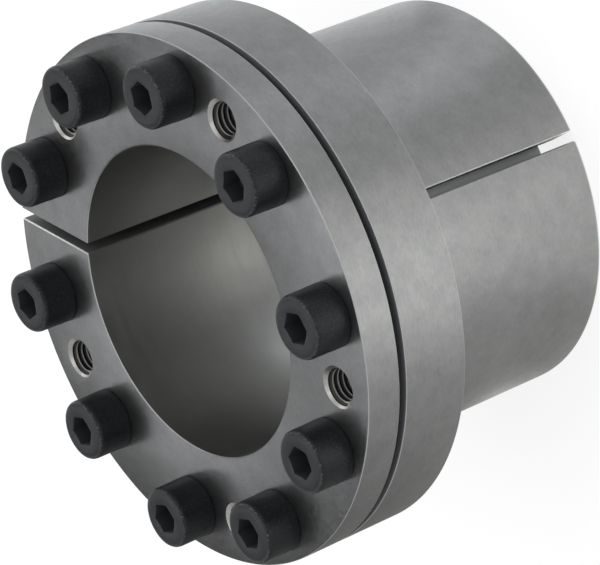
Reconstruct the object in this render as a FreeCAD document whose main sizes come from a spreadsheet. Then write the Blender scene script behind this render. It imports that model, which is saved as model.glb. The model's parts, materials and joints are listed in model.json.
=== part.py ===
import FreeCAD, Part
import Sketcher
import os

# A self-centring shaft locking assembly with a single slow taper. The inner ring is slit
# right through and grips the shaft. Its outside is a cone that sits in the matching cone
# of the outer ring, whose slotted sleeve grips the bore of a hub. Cap screws pass through
# the inner ring's flange into tapped holes in the outer ring's flange and draw the cones
# together. Every second space between the screws holds a tapped jacking hole: a screw
# moved there pushes the rings apart again.
#
# Millimetres. +Z runs along the shaft towards the screw heads. The origin is on the axis
# in the plane of the sleeve's free end, on which the part stands.

SIZES = [
    ("bore_dia", 65.0, "shaft bore"),
    ("sleeve_dia", 84.0, "outside of the sleeve, for the hub's bore"),
    ("front_flange_thick", 7.8, "inner ring's flange"),
    ("flange_gap", 1.6, "between the flanges, before tightening"),
    ("rear_flange_thick", 15.0, "outer ring's flange"),
    ("sleeve_length", 49.2, "sleeve behind its flange"),
    ("ring_recess", 4.6, "from the sleeve's end to the inner ring's end"),
    ("cone_taper", 0.1, "change of diameter per length of cone"),
    ("cone_clear", 0.1, "between the two cones, on the radius"),
    ("slit_width", 2.2, "slit right through the inner ring"),
    ("slit_space", 5, "space between screws that holds the slit"),
    ("slot_width", 2.0, "slot along the sleeve"),
    ("slot_space", 1, "space between screws that holds the slot"),
    ("slot_stop", 0.5, "from the slot's blind end to the flange"),
    ("screw_count", 10, "clamp screws"),
    ("thread_dia", 8.0, "nominal thread"),
    ("thread_clear", 0.05, "between screw and tapped hole, on the radius"),
    ("pass_clear", 0.5, "between screw and plain hole, on the radius"),
    ("hole_land", 3.8, "between the cone's mouth and the tapped holes"),
    ("rim_land", 2.3, "between the screw heads and the flanges' rims"),
    ("hole_mouth", 0.35, "bevel at the mouth of a tapped hole"),
    ("screw_length", 22.0, "screw below its head"),
    ("tip_bevel", 0.9, "bevel on the screw's tip"),
    ("head_dia", 13.0, "screw head"),
    ("head_height", 8.0, "screw head"),
    ("head_bevel", 1.0, "bevel on the head's front edge"),
    ("seat_bevel", 0.3, "bevel under the head"),
    ("hex_flats", 6.0, "across the flats of the key socket"),
    ("hex_depth", 4.0, "straight depth of the key socket"),
    ("hex_mouth", 0.2, "bevel beyond the corners of the key socket"),
    ("edge_bevel", 0.3, "turned edges of both rings"),
    ("end_bevel", 0.6, "lead-in on the sleeve's free end"),
    ("slit_bevel", 0.25, "deburred edges of slit and slot"),
]

# How far each screw happens to be turned, in degrees, as its thread was picked up.
KEY_TURNS = [45, 54, 15, 1, 23, 9, 49, 50, 50, 29]

# Heights of the faces above the sleeve's free end.
RING_END = "sizes.ring_recess"
FLANGE_BACK = "sizes.sleeve_length"
FLANGE_FRONT = "(sizes.sleeve_length + sizes.rear_flange_thick)"
SLOT_END = "(%s - sizes.slot_stop)" % FLANGE_BACK
RING_BACK = "(%s + sizes.flange_gap)" % FLANGE_FRONT
RING_FRONT = "(%s + sizes.front_flange_thick)" % RING_BACK


def cone_radius(height):
    """The inner ring's cone runs along the middle of the wall between bore and sleeve."""
    middle = "(sizes.bore_dia + sizes.sleeve_dia) / 4 - sizes.cone_clear / 2"
    return "%s + (%s - %s / 2) * sizes.cone_taper / 2" % (middle, height, FLANGE_FRONT)


def seat_radius(height):
    """The outer ring's cone, clear of the inner ring's by the named clearance."""
    return cone_radius(height) + " + sizes.cone_clear"


BORE_R = "sizes.bore_dia / 2"
SLEEVE_R = "sizes.sleeve_dia / 2"
THREAD_R = "sizes.thread_dia / 2"
SCREW_CIRCLE_R = "(%s + sizes.hole_land + %s)" % (seat_radius(FLANGE_FRONT), THREAD_R)
FLANGE_R = "(%s + sizes.head_dia / 2 + sizes.rim_land)" % SCREW_CIRCLE_R
PITCH = "360deg / sizes.screw_count"
EDGE = "sizes.edge_bevel"

SAME_PLACE = 1e-4
LEAST_CUT = 1e-3

document = FreeCAD.newDocument("locking_assembly")
sheet = document.addObject("Spreadsheet::Sheet", "sizes")
for row, (alias, size, note) in enumerate(SIZES, start=1):
    sheet.set("A%d" % row, alias)
    sheet.set("B%d" % row, str(size))
    sheet.set("C%d" % row, note)
    sheet.setAlias("B%d" % row, alias)
document.recompute()


def value(expression):
    """The plain number that an expression on the sheet comes to."""
    result = sheet.evalExpression(expression)
    return getattr(result, "Value", result)


def origin_feature(body, role):
    """One of the body's own origin planes or axes."""
    for feature in body.Origin.OriginFeatures:
        if feature.Role == role:
            return feature
    raise RuntimeError("%s has no %s" % (body.Label, role))


def new_body(label):
    body = document.addObject("PartDesign::Body", label)
    body.Label = label
    return body


def new_sketch(body, name, plane, turn_axis=None, turn=None, height=None):
    """A sketch on an origin plane, turned about the ring's axis or lifted along it."""
    sketch = body.newObject("Sketcher::SketchObject", name)
    sketch.AttachmentSupport = [(origin_feature(body, plane), "")]
    sketch.MapMode = "FlatFace"
    if turn:
        angle = value(turn)
        rotation = FreeCAD.Rotation(turn_axis, angle)
        sketch.AttachmentOffset = FreeCAD.Placement(FreeCAD.Vector(), rotation)
        sketch.setExpression("AttachmentOffset.Rotation.Angle", turn)
    if height:
        sketch.setExpression("AttachmentOffset.Base.z", height)
    return sketch


def set_distance(sketch, kind, line, end, expression):
    """Ties one end of a line to the sketch's origin, across or up."""
    if expression == "0":
        axis = {"DistanceX": -2, "DistanceY": -1}[kind]
        sketch.addConstraint(Sketcher.Constraint("PointOnObject", line, end, axis))
        return
    constraint = Sketcher.Constraint(kind, -1, 1, line, end, value(expression))
    index = sketch.addConstraint(constraint)
    sketch.setExpression("Constraints[%d]" % index, expression)


def draw_outline(sketch, corners):
    """A closed outline. Each corner is a pair of expressions, across and up."""
    places = [FreeCAD.Vector(value(across), value(up), 0) for across, up in corners]
    lines = []
    for start, end in zip(places, places[1:] + places[:1]):
        lines.append(sketch.addGeometry(Part.LineSegment(start, end), False))
    for line, following in zip(lines, lines[1:] + lines[:1]):
        sketch.addConstraint(Sketcher.Constraint("Coincident", line, 2, following, 1))
    for line, (across, up) in zip(lines, corners):
        set_distance(sketch, "DistanceX", line, 1, across)
        set_distance(sketch, "DistanceY", line, 1, up)


def draw_axis(sketch, across, bottom, top):
    """A construction line, parallel to the ring's axis, to turn a cut about."""
    start = FreeCAD.Vector(value(across), value(bottom), 0)
    end = FreeCAD.Vector(value(across), value(top), 0)
    line = sketch.addGeometry(Part.LineSegment(start, end), True)
    for point, up in ((1, bottom), (2, top)):
        set_distance(sketch, "DistanceX", line, point, across)
        set_distance(sketch, "DistanceY", line, point, up)


def revolve(body, sketch, name):
    """Turns a half-section about the body's own Z axis."""
    feature = body.newObject("PartDesign::Revolution", name)
    feature.Profile = sketch
    feature.ReferenceAxis = (sketch, ["V_Axis"])
    feature.Angle = 360
    body.Tip = feature
    document.recompute()


def check_cut(body, volume_before, name):
    """A cut that points away from the solid removes nothing and shows no error."""
    document.recompute()
    if not body.Shape.Volume < volume_before - LEAST_CUT:
        raise RuntimeError("%s of %s cuts nothing" % (name, body.Label))


def repeat_around(body, feature, name, count, spacing):
    """Repeats a cut about the ring's axis, a given number of times at a given angle."""
    volume_before = body.Shape.Volume
    pattern = body.newObject("PartDesign::PolarPattern", name)
    pattern.Originals = [feature]
    pattern.Axis = (origin_feature(body, "Z_Axis"), [""])
    pattern.Mode = "Spacing"
    pattern.setExpression("Occurrences", count)
    pattern.setExpression("Offset", spacing)
    body.Tip = pattern
    check_cut(body, volume_before, name)


def cut_tapped_holes(body, name, bottom, top, turn, count, spacing):
    """Holes at the thread's full diameter, with a bevelled mouth at both faces."""
    volume_before = body.Shape.Volume
    upright = FreeCAD.Vector(0, 1, 0)
    sketch = new_sketch(body, name + "_section", "XZ_Plane", upright, turn)
    wall = "%s + %s" % (SCREW_CIRCLE_R, THREAD_R)
    mouth = wall + " + sizes.hole_mouth"
    draw_outline(sketch, [
        (SCREW_CIRCLE_R, bottom),
        (mouth, bottom),
        (wall, bottom + " + sizes.hole_mouth"),
        (wall, top + " - sizes.hole_mouth"),
        (mouth, top),
        (SCREW_CIRCLE_R, top),
    ])
    draw_axis(sketch, SCREW_CIRCLE_R, bottom, top)
    groove = body.newObject("PartDesign::Groove", name + "_cut")
    groove.Profile = sketch
    groove.ReferenceAxis = (sketch, ["Axis0"])
    groove.Angle = 360
    body.Tip = groove
    check_cut(body, volume_before, name)
    repeat_around(body, groove, name, count, spacing)


def cut_pass_holes(body):
    """Plain holes that the screws pass through, one half pitch round from the X axis."""
    volume_before = body.Shape.Volume
    sketch = new_sketch(body, "pass_hole_centre", "XY_Plane", height=RING_FRONT)
    angle = "(%s / 2)" % PITCH
    across = "%s * cos%s" % (SCREW_CIRCLE_R, angle)
    up = "%s * sin%s" % (SCREW_CIRCLE_R, angle)
    radius = THREAD_R + " + sizes.pass_clear"
    centre = FreeCAD.Vector(value(across), value(up), 0)
    normal = FreeCAD.Vector(0, 0, 1)
    circle = sketch.addGeometry(Part.Circle(centre, normal, value(radius)), False)
    index = sketch.addConstraint(Sketcher.Constraint("Radius", circle, value(radius)))
    sketch.setExpression("Constraints[%d]" % index, radius)
    set_distance(sketch, "DistanceX", circle, 3, across)
    set_distance(sketch, "DistanceY", circle, 3, up)
    document.recompute()
    hole = body.newObject("PartDesign::Hole", "pass_hole")
    hole.Profile = sketch
    hole.DepthType = "ThroughAll"
    hole.setExpression("Diameter", "2 * (%s)" % radius)
    body.Tip = hole
    check_cut(body, volume_before, "pass_hole")
    repeat_around(body, hole, "pass_holes", "sizes.screw_count", PITCH)


def cut_along(body, name, width, space, length=None):
    """A parallel-sided saw cut through one side of a ring, up from its free end."""
    volume_before = body.Shape.Volume
    upright = FreeCAD.Vector(0, 0, 1)
    turn = "%s * %s" % (PITCH, space)
    sketch = new_sketch(body, name + "_section", "XY_Plane", upright, turn)
    reach = "%s + %s" % (FLANGE_R, width)
    draw_outline(sketch, [
        ("0", "-%s / 2" % width),
        (reach, "-%s / 2" % width),
        (reach, "%s / 2" % width),
        ("0", "%s / 2" % width),
    ])
    pocket = body.newObject("PartDesign::Pocket", name)
    pocket.Profile = sketch
    pocket.Reversed = True
    if length:
        pocket.setExpression("Length", length)
    else:
        pocket.Type = "ThroughAll"
    body.Tip = pocket
    check_cut(body, volume_before, name)
    return pocket


def deburr(body, feature, name, width, space, length=None):
    """Breaks every edge that a saw cut leaves, apart from those in its blind end."""
    volume_before = body.Shape.Volume
    angle = value("%s * %s" % (PITCH, space))
    turn_back = FreeCAD.Rotation(FreeCAD.Vector(0, 0, 1), -angle)
    half_width = value(width) / 2
    edges = []
    for index, edge in enumerate(feature.Shape.Edges, start=1):
        ends = [turn_back.multVec(vertex.Point) for vertex in edge.Vertexes]
        gaps = [abs(abs(end.y) - half_width) for end in ends if end.x > 0]
        beside_cut = len(gaps) == 2 and max(gaps) < SAME_PLACE
        if length and all(abs(end.z - value(length)) < SAME_PLACE for end in ends):
            beside_cut = False
        if beside_cut:
            edges.append("Edge%d" % index)
    chamfer = body.newObject("PartDesign::Chamfer", name)
    chamfer.Base = (feature, edges)
    chamfer.setExpression("Size", "sizes.slit_bevel")
    body.Tip = chamfer
    check_cut(body, volume_before, name)


def make_outer_ring():
    """Thick flange with the tapped holes, and the slotted sleeve with the inner cone."""
    body = new_body("outer_ring")
    section = new_sketch(body, "outer_ring_section", "XZ_Plane")
    draw_outline(section, [
        ("%s + %s" % (seat_radius("0"), EDGE), "0"),
        (SLEEVE_R + " - sizes.end_bevel", "0"),
        (SLEEVE_R, "sizes.end_bevel"),
        (SLEEVE_R, FLANGE_BACK),
        ("%s - %s" % (FLANGE_R, EDGE), FLANGE_BACK),
        (FLANGE_R, "%s + %s" % (FLANGE_BACK, EDGE)),
        (FLANGE_R, "%s - %s" % (FLANGE_FRONT, EDGE)),
        ("%s - %s" % (FLANGE_R, EDGE), FLANGE_FRONT),
        ("%s + %s" % (seat_radius(FLANGE_FRONT), EDGE), FLANGE_FRONT),
        (seat_radius("%s - %s" % (FLANGE_FRONT, EDGE)), "%s - %s" % (FLANGE_FRONT, EDGE)),
        (seat_radius(EDGE), EDGE),
    ])
    revolve(body, section, "outer_ring_turned")
    slot = cut_along(body, "sleeve_slot", "sizes.slot_width", "sizes.slot_space", SLOT_END)
    deburr(body, slot, "slot_edges", "sizes.slot_width", "sizes.slot_space", SLOT_END)
    cut_tapped_holes(body, "screw_holes", FLANGE_BACK, FLANGE_FRONT,
                     PITCH + " / 2", "sizes.screw_count", PITCH)
    return body


def make_inner_ring():
    """Thin flange with plain and jacking holes, and the slit cone round the bore."""
    body = new_body("inner_ring")
    section = new_sketch(body, "inner_ring_section", "XZ_Plane")
    draw_outline(section, [
        ("%s + %s" % (BORE_R, EDGE), RING_END),
        ("%s - %s" % (cone_radius(RING_END), EDGE), RING_END),
        (cone_radius("%s + %s" % (RING_END, EDGE)), "%s + %s" % (RING_END, EDGE)),
        (cone_radius(RING_BACK), RING_BACK),
        ("%s - %s" % (FLANGE_R, EDGE), RING_BACK),
        (FLANGE_R, "%s + %s" % (RING_BACK, EDGE)),
        (FLANGE_R, "%s - %s" % (RING_FRONT, EDGE)),
        ("%s - %s" % (FLANGE_R, EDGE), RING_FRONT),
        ("%s + %s" % (BORE_R, EDGE), RING_FRONT),
        (BORE_R, "%s - %s" % (RING_FRONT, EDGE)),
        (BORE_R, "%s + %s" % (RING_END, EDGE)),
    ])
    revolve(body, section, "inner_ring_turned")
    slit = cut_along(body, "ring_slit", "sizes.slit_width", "sizes.slit_space")
    deburr(body, slit, "slit_edges", "sizes.slit_width", "sizes.slit_space")
    cut_pass_holes(body)
    cut_tapped_holes(body, "jacking_holes", RING_BACK, RING_FRONT, None,
                     "floor(sizes.screw_count / 2)", "2 * " + PITCH)
    return body


def make_clamp_screw(number):
    """Cap screw, head up: turned outline, drilled and countersunk, then the hexagon."""
    body = new_body("clamp_screw_%02d" % number)
    shank = "(%s - sizes.thread_clear)" % THREAD_R
    head = "sizes.head_dia / 2"
    top = "sizes.head_height"
    section = new_sketch(body, "screw_section_%02d" % number, "XZ_Plane")
    draw_outline(section, [
        ("0", "-sizes.screw_length"),
        (shank + " - sizes.tip_bevel", "-sizes.screw_length"),
        (shank, "sizes.tip_bevel - sizes.screw_length"),
        (shank, "0"),
        (head + " - sizes.seat_bevel", "0"),
        (head, "sizes.seat_bevel"),
        (head, top + " - sizes.head_bevel"),
        (head + " - sizes.head_bevel", top),
        ("0", top),
    ])
    revolve(body, section, "screw_turned_%02d" % number)

    volume_before = body.Shape.Volume
    flat_r = "sizes.hex_flats / 2"
    corner_r = flat_r + " / cos(30deg)"
    mouth_r = "(%s + sizes.hex_mouth)" % corner_r
    floor = "(%s - sizes.hex_depth)" % top
    drill = new_sketch(body, "screw_drill_%02d" % number, "XZ_Plane")
    draw_outline(drill, [
        ("0", "%s - %s * tan(30deg)" % (floor, flat_r)),
        (flat_r, floor),
        (flat_r, "%s - (%s - %s) * tan(30deg)" % (top, mouth_r, flat_r)),
        (mouth_r, top),
        ("0", top),
    ])
    drilled = body.newObject("PartDesign::Groove", "screw_drilled_%02d" % number)
    drilled.Profile = drill
    drilled.ReferenceAxis = (drill, ["V_Axis"])
    drilled.Angle = 360
    body.Tip = drilled
    check_cut(body, volume_before, drilled.Name)

    volume_before = body.Shape.Volume
    hexagon = new_sketch(body, "screw_hexagon_%02d" % number, "XY_Plane", height=top)
    half_flat = "%s * tan(30deg)" % flat_r
    draw_outline(hexagon, [
        (flat_r, "-%s" % half_flat),
        (flat_r, half_flat),
        ("0", corner_r),
        ("-%s" % flat_r, half_flat),
        ("-%s" % flat_r, "-%s" % half_flat),
        ("0", "-%s" % corner_r),
    ])
    socket = body.newObject("PartDesign::Pocket", "screw_socket_%02d" % number)
    socket.Profile = hexagon
    socket.setExpression("Length", "sizes.hex_depth")
    body.Tip = socket
    check_cut(body, volume_before, socket.Name)

    turn = FreeCAD.Rotation(FreeCAD.Vector(0, 0, 1), KEY_TURNS[(number - 1) % len(KEY_TURNS)])
    body.Placement = FreeCAD.Placement(FreeCAD.Vector(), turn)
    angle = "(%s * %s)" % (PITCH, number - 0.5)
    body.setExpression("Placement.Base.x", "%s * cos%s" % (SCREW_CIRCLE_R, angle))
    body.setExpression("Placement.Base.y", "%s * sin%s" % (SCREW_CIRCLE_R, angle))
    body.setExpression("Placement.Base.z", RING_FRONT)
    return body


def check_document():
    """Recomputing can leave an object failed without a word, so each is looked at."""
    document.recompute()
    for item in document.Objects:
        if "Invalid" in item.State or "Error" in item.State:
            raise RuntimeError("%s failed: %s" % (item.Name, item.State))


def write_parts(bodies):
    os.makedirs("parts", exist_ok=True)
    for body in bodies:
        shape = body.Shape
        if shape.isNull() or not shape.isValid() or len(shape.Solids) != 1:
            raise RuntimeError("%s is not one valid solid" % body.Label)
        shape.exportStep("parts/%s.step" % body.Label)
        print("%-16s %10.1f mm3 %6d faces" % (body.Label, shape.Volume, len(shape.Faces)))


rings = [make_outer_ring(), make_inner_ring()]
screws = [make_clamp_screw(number) for number in range(1, int(value("sizes.screw_count")) + 1)]
check_document()
write_parts(rings + screws)
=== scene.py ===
# %% [markdown]
# # A shaft locking assembly, dressed for its picture
#
# Two steel rings with matching cones are drawn together by ten black cap screws. The inner
# ring then grips a shaft, and the slotted sleeve of the outer ring grips the bore of a hub.
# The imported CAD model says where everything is. This script makes the pieces again with what
# a plain solid leaves out: cut threads, rounded edges, turning marks and the screws' finish.

import json
import math

import bmesh
import bpy
from mathutils import Matrix, Vector


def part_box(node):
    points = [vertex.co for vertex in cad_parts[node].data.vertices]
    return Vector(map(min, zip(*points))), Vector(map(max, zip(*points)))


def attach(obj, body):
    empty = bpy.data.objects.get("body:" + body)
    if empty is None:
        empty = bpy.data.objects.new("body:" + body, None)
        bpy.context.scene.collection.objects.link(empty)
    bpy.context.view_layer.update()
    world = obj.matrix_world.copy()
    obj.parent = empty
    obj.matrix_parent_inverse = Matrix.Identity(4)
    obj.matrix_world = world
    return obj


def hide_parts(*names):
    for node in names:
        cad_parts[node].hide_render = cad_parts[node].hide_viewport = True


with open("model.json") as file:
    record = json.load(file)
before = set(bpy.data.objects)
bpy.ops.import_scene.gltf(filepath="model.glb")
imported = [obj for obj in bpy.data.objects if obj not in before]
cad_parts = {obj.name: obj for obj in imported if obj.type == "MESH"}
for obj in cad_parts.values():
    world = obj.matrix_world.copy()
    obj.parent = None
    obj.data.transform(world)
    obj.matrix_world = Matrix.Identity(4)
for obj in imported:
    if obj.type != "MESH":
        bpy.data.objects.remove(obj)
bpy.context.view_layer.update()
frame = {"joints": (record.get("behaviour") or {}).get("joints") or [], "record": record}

# %% [markdown]
# ## Sizes
#
# Nothing is measured twice. The mounts in the record and the boxes of the CAD nodes give the
# radii and the heights of the faces. Only details that neither of them names, such as bevels
# and the thread's form, are written here.

# %% Sizes from the record and the CAD boxes
MM = 0.001
mounts = {mount["name"]: mount for mount in frame["record"]["mounts"]}
hinges = {joint["child"]: joint for joint in frame["joints"] if joint["type"] == "hinge"}

BORE_R = mounts["shaft_bore"]["dims"]["r_mm"] * MM
SLEEVE_R = mounts["hub_seat"]["dims"]["r_mm"] * MM
SCREW_CIRCLE_R = mounts["jacking_hole_1"]["pos_m"][0]
FLANGE_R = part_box("outer_ring")[1].x

SLEEVE_END, FLANGE_FRONT = [corner.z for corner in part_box("outer_ring")]
RING_END, RING_FRONT = [corner.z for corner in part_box("inner_ring")]
SCREW_TIP, HEAD_TOP = [corner.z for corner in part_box("clamp_screw_01")]
FLANGE_BACK = mounts["hub_stop"]["pos_m"][2]
RING_BACK = 2 * mounts["jacking_hole_1"]["pos_m"][2] - RING_FRONT

print("flanges %.1f mm across, head tops at %.1f mm" % (2 * FLANGE_R / MM, HEAD_TOP / MM))

# %% Sizes of the details
CONE_TAPER = 0.1
CONE_CLEAR = 0.1 * MM
SLIT_WIDTH = 2.2 * MM
SLIT_ANGLE = math.radians(180)
SLOT_WIDTH = 2.0 * MM
SLOT_ANGLE = math.radians(36)
SLOT_STOP = 0.5 * MM
SAW_BEVEL = 0.25 * MM
EDGE = 0.3 * MM
END_ROUND = 1.0 * MM
SLOT_CORNER = 1.0 * MM

SCREW_COUNT = 10
SCREW_PITCH = math.tau / SCREW_COUNT
PASS_HOLE_R = 4.5 * MM


def cone_radius(height):
    """The inner ring's cone runs along the middle of the wall between bore and sleeve."""
    middle = (BORE_R + SLEEVE_R - CONE_CLEAR) / 2
    return middle + (height - FLANGE_FRONT / 2) * CONE_TAPER / 2


def seat_radius(height):
    """The outer ring's cone, clear of the inner ring's."""
    return cone_radius(height) + CONE_CLEAR


print("cone from %.2f to %.2f mm" % (cone_radius(RING_END) / MM, cone_radius(RING_BACK) / MM))

# %% [markdown]
# ## The camera
#
# The photograph looks at the screw heads from the side and a little from above, with the
# assembly lying on its side. Here it stands on its sleeve, so the camera takes the same place
# around it and is rolled about its own view. A long lens from about two thirds of a metre
# gives the photograph's weak perspective. The Standard view shows colours as they're written.
# An object shows only once it is linked to the scene, so one function makes and links it.

# %% Camera
CAMERA_TURN = math.radians(123.47)
CAMERA_RISE = math.radians(33.95)
CAMERA_ROLL = math.radians(-112.13)
CAMERA_AWAY = 0.6498
CAMERA_AIM = Vector((0.01316, 0.00294, 0.05489))
LENS_MM = 196.92

back = Vector((
    math.sin(CAMERA_TURN) * math.cos(CAMERA_RISE),
    -math.cos(CAMERA_TURN) * math.cos(CAMERA_RISE),
    math.sin(CAMERA_RISE),
))
level_right = (-back).cross(Vector((0, 0, 1))).normalized()
level_up = level_right.cross(-back)
right = math.cos(CAMERA_ROLL) * level_right + math.sin(CAMERA_ROLL) * level_up
up = math.cos(CAMERA_ROLL) * level_up - math.sin(CAMERA_ROLL) * level_right


def add_object(name, data):
    """Puts an object with this mesh, lamp or camera into the scene."""
    added = bpy.data.objects.new(name, data)
    bpy.context.scene.collection.objects.link(added)
    return added


camera = add_object("camera", bpy.data.cameras.new("camera"))
camera.data.lens = LENS_MM
camera.data.sensor_fit = "HORIZONTAL"
facing = Matrix((right, up, back)).transposed().to_4x4()
camera.matrix_world = Matrix.Translation(CAMERA_AIM + back * CAMERA_AWAY) @ facing
bpy.context.scene.camera = camera
bpy.context.scene.view_settings.view_transform = "Standard"
print("camera at", [round(x, 3) for x in camera.location])

# %% [markdown]
# ## Sums as nodes
#
# A pattern or a spiral is a sum worked out at every point. In Blender each step of a sum is a
# Math node, and a long sum is a long row of them. This small class writes them: with two of
# its numbers, `a + b` adds an Add node and joins it up, so that the sums below read as sums.

# %% Numbers that write Math nodes


class Number:
    """A number that changes over the mesh. Each sum made with it adds a Math node."""

    def __init__(self, tree, socket):
        self.tree = tree
        self.socket = socket

    def step(self, operation, *given):
        node = self.tree.nodes.new("ShaderNodeMath")
        node.operation = operation
        for place, number in zip(node.inputs, given):
            if isinstance(number, Number):
                self.tree.links.new(number.socket, place)
            else:
                place.default_value = number
        return Number(self.tree, node.outputs[0])

    def __add__(self, other):
        return self.step("ADD", self, other)

    def __sub__(self, other):
        return self.step("SUBTRACT", self, other)

    def __mul__(self, other):
        return self.step("MULTIPLY", self, other)

    def __truediv__(self, other):
        return self.step("DIVIDE", self, other)

    def __neg__(self):
        return self.step("MULTIPLY", self, -1.0)

    def to(self, operation, *others):
        return self.step(operation, self, *others)

    def between(self, low, high):
        return self.to("MAXIMUM", low).to("MINIMUM", high)


def feed(tree, node, inputs):
    """Feeds each named input of a node with a socket or a fixed value."""
    for name, given in inputs.items():
        if isinstance(given, Number):
            given = given.socket
        if isinstance(given, bpy.types.NodeSocket):
            tree.links.new(given, node.inputs[name])
        else:
            node.inputs[name].default_value = given


def add_node(tree, kind, inputs=None, **settings):
    """Adds a node, sets its options and feeds its inputs."""
    node = tree.nodes.new(kind)
    for name, setting in settings.items():
        setattr(node, name, setting)
    feed(tree, node, inputs or {})
    return node


def coordinates(tree, kind):
    """One of Blender's texture coordinates: Object, Normal or Generated."""
    return tree.nodes.new("ShaderNodeTexCoord").outputs[kind]


def parts(tree, vector):
    """The X, Y and Z of a vector, as numbers for sums."""
    split = add_node(tree, "ShaderNodeSeparateXYZ", {"Vector": vector})
    return [Number(tree, socket) for socket in split.outputs]


print("sums ready")

# %% [markdown]
# ## Geometry Nodes trees
#
# Everything here was made on a lathe, a drill or a threading tool, so a few rules shape it
# all. Each rule is a Geometry Nodes tree with its sizes as named inputs. `grow` runs a tree
# once on a starting mesh and keeps the plain mesh that comes out. Two of the trees lay a grid
# and bend it round an axis: each row of the grid takes its radius and height from one point of
# an outline.

# %% Helpers for the trees
WELD = 1e-6
KINDS = {
    "number": "NodeSocketFloat",
    "count": "NodeSocketInt",
    "place": "NodeSocketVector",
    "piece": "NodeSocketObject",
    "finish": "NodeSocketMaterial",
    "shape": "NodeSocketGeometry",
}


def new_shape_tree(name, **inputs):
    """A tree that takes a shape and the named inputs, and its Group Input node."""
    tree = bpy.data.node_groups.new(name, "GeometryNodeTree")
    tree.interface.new_socket("Shape", in_out="INPUT", socket_type=KINDS["shape"])
    for label, kind in inputs.items():
        tree.interface.new_socket(label, in_out="INPUT", socket_type=KINDS[kind])
    tree.interface.new_socket("Shape", in_out="OUTPUT", socket_type=KINDS["shape"])
    return tree, tree.nodes.new("NodeGroupInput")


def close_tree(tree, given, shape):
    """Ends a tree the way each has to end: real mesh, with the given finish."""
    real = add_node(tree, "GeometryNodeRealizeInstances", {"Geometry": shape})
    painted = add_node(tree, "GeometryNodeSetMaterial",
                       {"Geometry": real.outputs[0], "Material": given.outputs["Finish"]})
    add_node(tree, "NodeGroupOutput", {"Shape": painted.outputs[0]})


def point_count(tree, shape):
    """How many points a shape has."""
    node = add_node(tree, "GeometryNodeAttributeDomainSize", {"Geometry": shape})
    return Number(tree, node.outputs["Point Count"])


def lay_grid(tree, columns, rows):
    """A grid, and for each of its points the column and the row that it lies in."""
    sheet = add_node(tree, "GeometryNodeMeshGrid", {"Vertices X": columns, "Vertices Y": rows})
    index = Number(tree, tree.nodes.new("GeometryNodeInputIndex").outputs[0])
    column = ((index + 0.5) / rows).to("FLOOR")
    return sheet.outputs[0], column, index - column * rows


def outline_value(tree, shape, at_row, field):
    """Reads a value of the outline at the point that belongs to this row of the grid."""
    node = add_node(tree, "GeometryNodeSampleIndex",
                    {"Geometry": shape, "Value": field, "Index": at_row}, data_type="FLOAT_VECTOR")
    return parts(tree, node.outputs[0])


def bend_grid(tree, given, sheet, radius, angle, height, centre=None):
    """Bends a grid round an axis, welds the points that meet, and ends the tree."""
    bent = add_node(tree, "ShaderNodeCombineXYZ",
                    {"X": radius * angle.to("COSINE"), "Y": radius * angle.to("SINE"), "Z": height})
    if centre:
        bent = add_node(tree, "ShaderNodeVectorMath", {0: bent.outputs[0], 1: centre}, operation="ADD")
    ring = add_node(tree, "GeometryNodeSetPosition", {"Geometry": sheet, "Position": bent.outputs[0]})
    welded = add_node(tree, "GeometryNodeMergeByDistance",
                      {"Geometry": ring.outputs[0], "Distance": WELD})
    close_tree(tree, given, welded.outputs[0])


def run_once(mesh, kind, settings, inputs=()):
    """Runs one modifier on a mesh and returns the plain mesh that it makes."""
    holder = add_object("holder", mesh)
    modifier = holder.modifiers.new("once", kind)
    for name, setting in settings.items():
        setattr(modifier, name, setting)
    for identifier, value in inputs:
        modifier[identifier] = value
    depsgraph = bpy.context.evaluated_depsgraph_get()
    made = bpy.data.meshes.new_from_object(holder.evaluated_get(depsgraph), depsgraph=depsgraph)
    holder.modifiers.remove(modifier)
    bpy.data.objects.remove(holder)
    return made


def grow(tree, start, **values):
    """Runs a tree on a starting mesh with these values for its inputs, and 0 for the rest."""
    inputs = [(item.identifier, values[item.name]) for item in tree.interface.items_tree
              if item.in_out == "INPUT" and item.name in values]
    return run_once(start, "NODES", {"node_group": tree}, inputs)


def outline_mesh(points):
    """An outline as loose points: x is the radius, y a mark for special rows, z the height."""
    mesh = bpy.data.meshes.new("outline")
    mesh.from_pydata([Vector(point) for point in points], [], [])
    return mesh


def written(work, mesh):
    """Writes what mesh code has built into a mesh."""
    work.to_mesh(mesh)
    work.free()
    return mesh


def face_outwards(mesh):
    """Makes a closed mesh's faces point away from its inside."""
    work = bmesh.new()
    work.from_mesh(mesh)
    bmesh.ops.recalc_face_normals(work, faces=work.faces)
    return written(work, mesh)


print("tree helpers ready")

# %% [markdown]
# ## Turning a ring
#
# A lathe makes a shape with the same outline all the way round. Spin or the Screw modifier
# could do it. This tree bends a grid instead, because the inner ring is also sawn through: its
# grid stops at both walls of the slit, and its end columns are drawn in a little, which is the
# narrow bevel that a file leaves along a saw cut.

# %% Tree: turned ring
tree, given = new_shape_tree("turned ring", Steps="count", Half_Gap="number", Bevel="number",
                             Gap_Angle="number", Finish="finish")
outline = given.outputs["Shape"]
steps, half_gap, bevel, gap_angle = [
    Number(tree, given.outputs[name]) for name in ("Steps", "Half_Gap", "Bevel", "Gap_Angle")]
sheet, column, row = lay_grid(tree, steps + 1.0, point_count(tree, outline))
at_wall = column.to("LESS_THAN", 0.5) + column.to("GREATER_THAN", steps - 0.5)

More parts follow.
